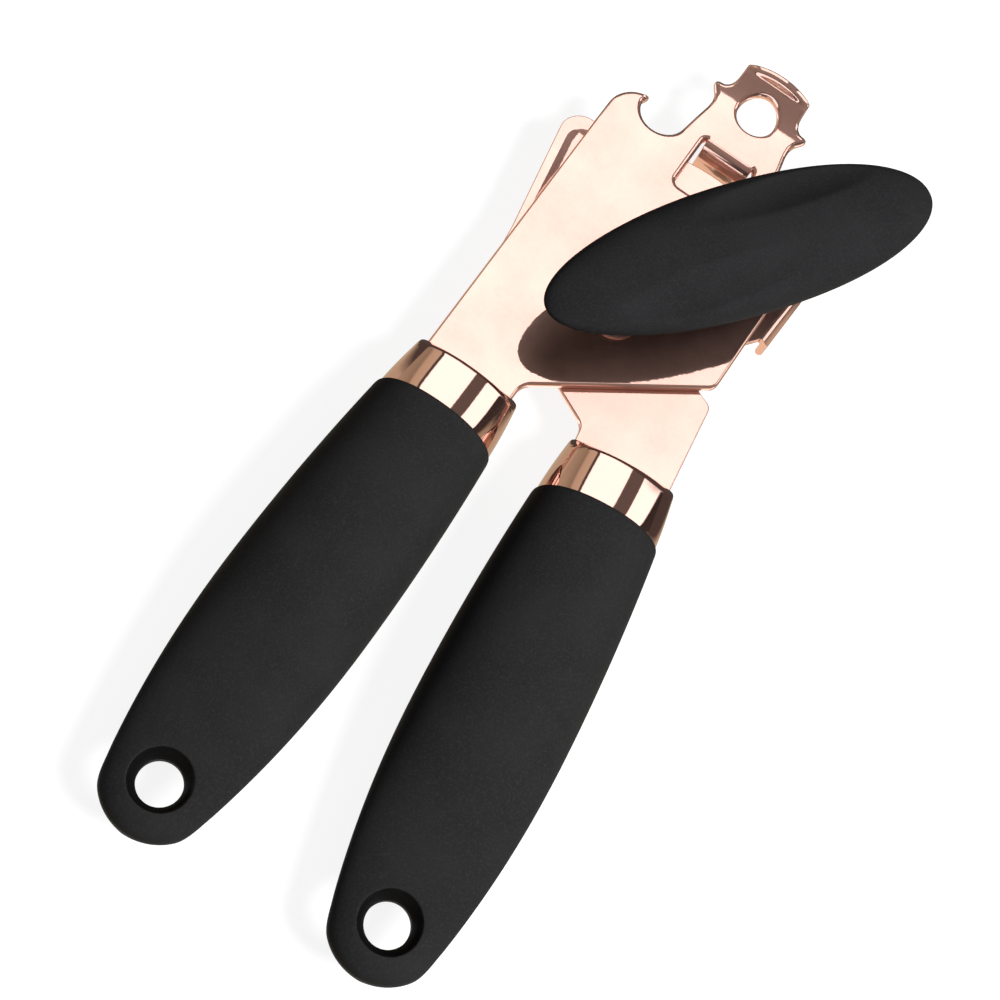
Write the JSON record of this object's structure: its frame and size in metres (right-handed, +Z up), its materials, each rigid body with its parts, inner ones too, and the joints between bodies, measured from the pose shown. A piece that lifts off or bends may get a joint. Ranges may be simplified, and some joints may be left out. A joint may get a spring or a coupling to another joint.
{
  "type": "manual can opener",
  "caption": "Plier-style can opener with a turning knob, a toothed drive wheel, a round cutting wheel, a crown-cap hook and two soft oval handles with hanging holes.",
  "frame": {"origin": "centre of the outer box in plan, on the flat surface the closed opener lies on", "axes": "+Y towards the head, +X towards the knob side, +Z up from the surface, along the rivet axis"},
  "size_m": [0.0767, 0.2144, 0.0335],
  "materials": {
    "rose_plate": "mirror rose-gold plating",
    "rose_ferrule": "mirror rose-gold plating",
    "plain_steel": "turned, satin",
    "soft_grip": "soft-touch matte",
    "hard_core": "moulded"
  },
  "bodies": {
    "upper_handle": {"upper_plate": "rose_plate", "pivot_rivet": "rose_plate", "pivot_washer": "plain_steel", "shaft_bushing": "plain_steel", "left_ferrule": "rose_ferrule", "left_core": "hard_core", "left_grip": "soft_grip", "left_tang_pin_front": "plain_steel", "left_tang_pin_rear": "plain_steel"},
    "lower_handle": {"lower_plate": "rose_plate", "cutter_stud": "plain_steel", "cutter_spacer": "plain_steel", "cutter_wave_washer": "plain_steel", "right_ferrule": "rose_ferrule", "right_core": "hard_core", "right_grip": "soft_grip", "right_tang_pin_front": "plain_steel", "right_tang_pin_rear": "plain_steel"},
    "drive": {"thrust_washer": "plain_steel", "drive_shaft": "plain_steel", "drive_wheel": "plain_steel", "drive_retainer": "plain_steel", "knob_wing": "plain_steel", "knob_core": "hard_core", "knob_grip": "soft_grip"},
    "cutter": {"cutting_wheel": "plain_steel"}
  },
  "joints": [
    {"name": "handle_pivot", "type": "hinge", "parent": "upper_handle", "child": "lower_handle", "pos_m": [-0.00425, 0.03683, 0.0124], "axis": [0, 0, 1], "range_deg": [-5.5, 15]},
    {"name": "knob_spin", "type": "hinge", "parent": "upper_handle", "child": "drive", "pos_m": [0.00975, 0.05973, 0.0124], "axis": [0, 0, 1], "continuous": true},
    {"name": "cutter_spin", "type": "hinge", "parent": "lower_handle", "child": "cutter", "pos_m": [-0.00385, 0.05783, 0.008], "axis": [0, 0, 1], "continuous": true}
  ]
}
